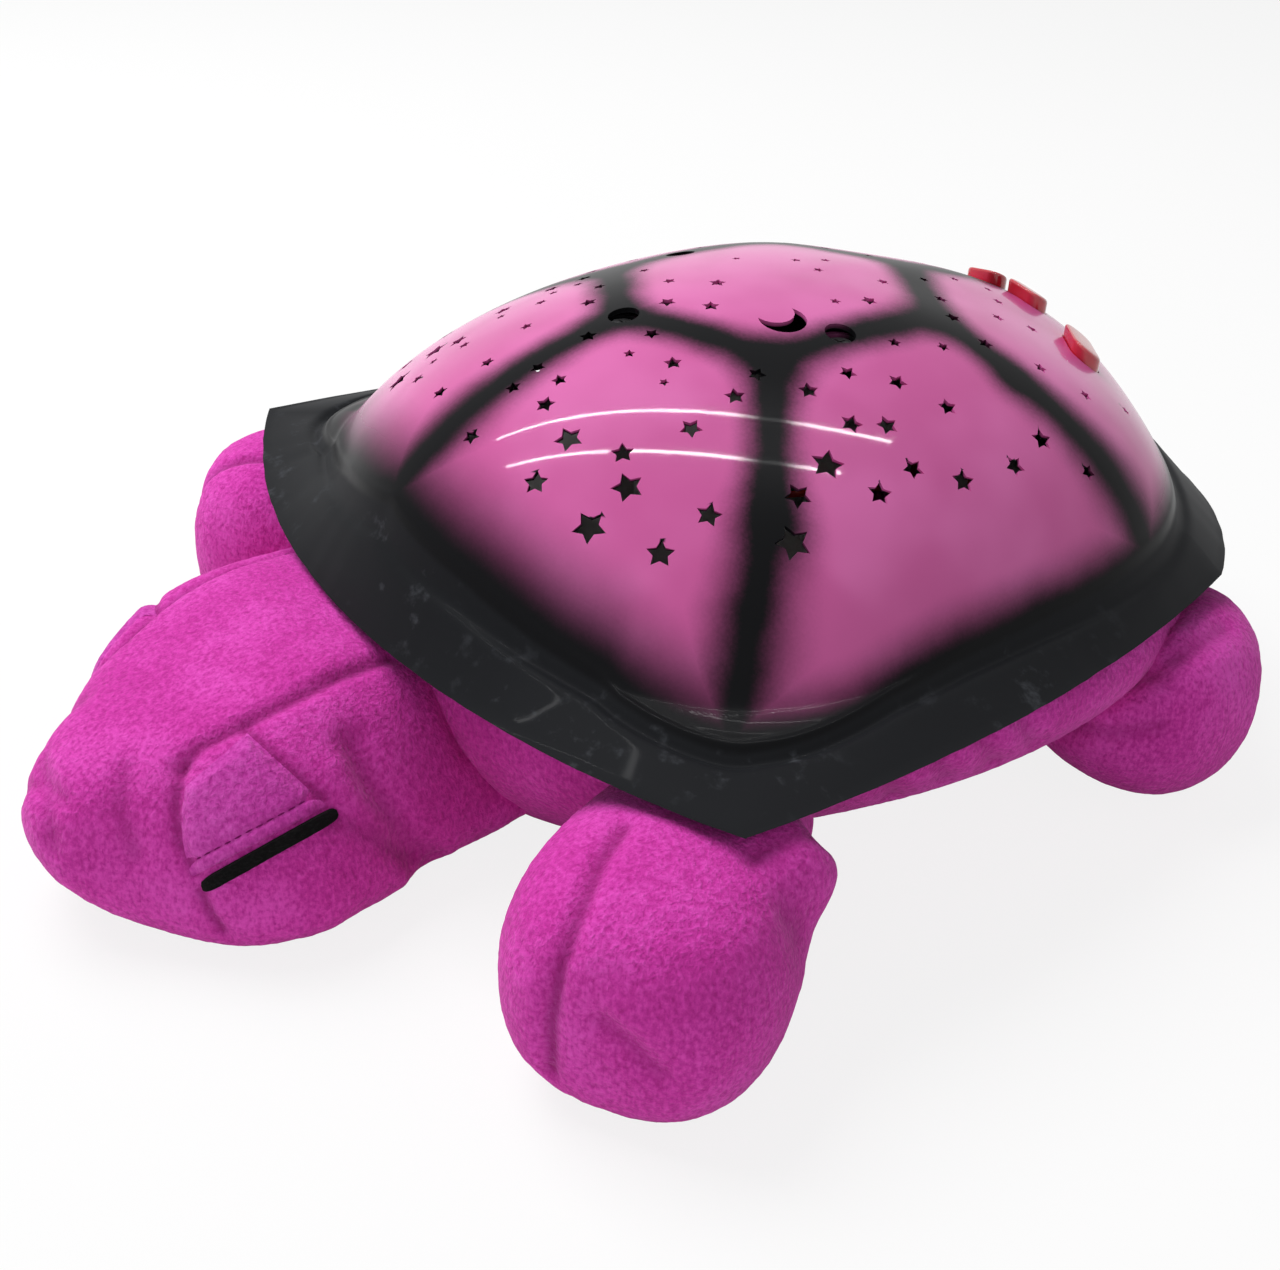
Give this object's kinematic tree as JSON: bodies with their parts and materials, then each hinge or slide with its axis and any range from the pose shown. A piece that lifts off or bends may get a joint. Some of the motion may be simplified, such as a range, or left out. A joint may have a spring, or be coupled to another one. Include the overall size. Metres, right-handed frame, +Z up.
{
  "type": "musical night light",
  "caption": "Plush turtle night light with a hard glossy shell pierced by stars, shell-top push buttons, light board, speaker and battery box inside.",
  "frame": {"origin": "on the surface the turtle stands on, under the middle of its box", "axes": "+Y towards the tail, -Y the way it looks, +X its left side, +Z up"},
  "size_m": [0.2758, 0.333, 0.1187],
  "materials": {
    "shell_gloss": "glossy injection-moulded pink, black airbrushed bands and rim",
    "plush": "short-pile magenta plush",
    "lid_plush": "short-pile lilac pink plush",
    "felt": "black felt",
    "tape": "white woven hook and loop tape",
    "button_red": "glossy red",
    "screw_steel": "zinc plated",
    "board": "green solder mask",
    "black_plastic": "black moulded",
    "tray_plastic": "white moulded",
    "led_red_lens": "clear red epoxy",
    "led_green_lens": "clear green epoxy",
    "led_blue_lens": "clear blue epoxy",
    "cell_wrap": "plain dark grey wrap",
    "spring_steel": "nickel plated",
    "basket_steel": "pressed steel",
    "ferrite": "bare ferrite",
    "cone_paper": "treated paper",
    "lead_insulation": "red PVC"
  },
  "bodies": {
    "night_light": {"shell": "shell_gloss", "plush_body": "plush", "head": "plush", "front_flipper_left": "plush", "front_flipper_right": "plush", "rear_flipper_left": "plush", "rear_flipper_right": "plush", "tail": "plush", "eyelid_left": "lid_plush", "eyelid_right": "lid_plush", "eye_strip_left": "felt", "eye_strip_right": "felt", "loop_tape": "tape", "shell_screws": "screw_steel", "switch_board_screws": "screw_steel", "speaker_screws": "screw_steel", "board_screws": "screw_steel", "door_screw": "screw_steel", "switch_board": "board", "led_board": "board", "main_board": "board", "tact_switches": "black_plastic", "melody_chip": "black_plastic", "board_components": "black_plastic", "base_tray": "tray_plastic", "battery_door": "tray_plastic", "speaker_clamp": "tray_plastic", "led_red": "led_red_lens", "led_green": "led_green_lens", "led_blue": "led_blue_lens", "battery_cells": "cell_wrap", "battery_contacts": "spring_steel", "speaker_basket": "basket_steel", "speaker_magnet": "ferrite", "speaker_cone": "cone_paper", "leads": "lead_insulation"},
    "light_button": {"light_button": "button_red"},
    "colour_button": {"colour_button": "button_red"},
    "melody_button": {"melody_button": "button_red"},
    "timer_button": {"timer_button": "button_red"},
    "belly_flap": {"belly_flap": "plush", "hook_tape": "tape"}
  },
  "joints": [
    {"name": "light_button_press", "type": "slide", "parent": "night_light", "child": "light_button", "axis": [0, 0, -1], "range_m": [0, 0.0015], "stiffness_N_per_m": 600, "springref_m": -0.001},
    {"name": "colour_button_press", "type": "slide", "parent": "night_light", "child": "colour_button", "axis": [0, 0, -1], "range_m": [0, 0.0015], "stiffness_N_per_m": 600, "springref_m": -0.001},
    {"name": "melody_button_press", "type": "slide", "parent": "night_light", "child": "melody_button", "axis": [0, 0, -1], "range_m": [0, 0.0015], "stiffness_N_per_m": 600, "springref_m": -0.001},
    {"name": "timer_button_press", "type": "slide", "parent": "night_light", "child": "timer_button", "axis": [0, 0, -1], "range_m": [0, 0.0015], "stiffness_N_per_m": 600, "springref_m": -0.001},
    {"name": "belly_flap_hinge", "type": "hinge", "parent": "night_light", "child": "belly_flap", "pos_m": [0, 0.0205, 0.0015], "axis": [-1, 0, 0], "range_deg": [0, 120]}
  ]
}
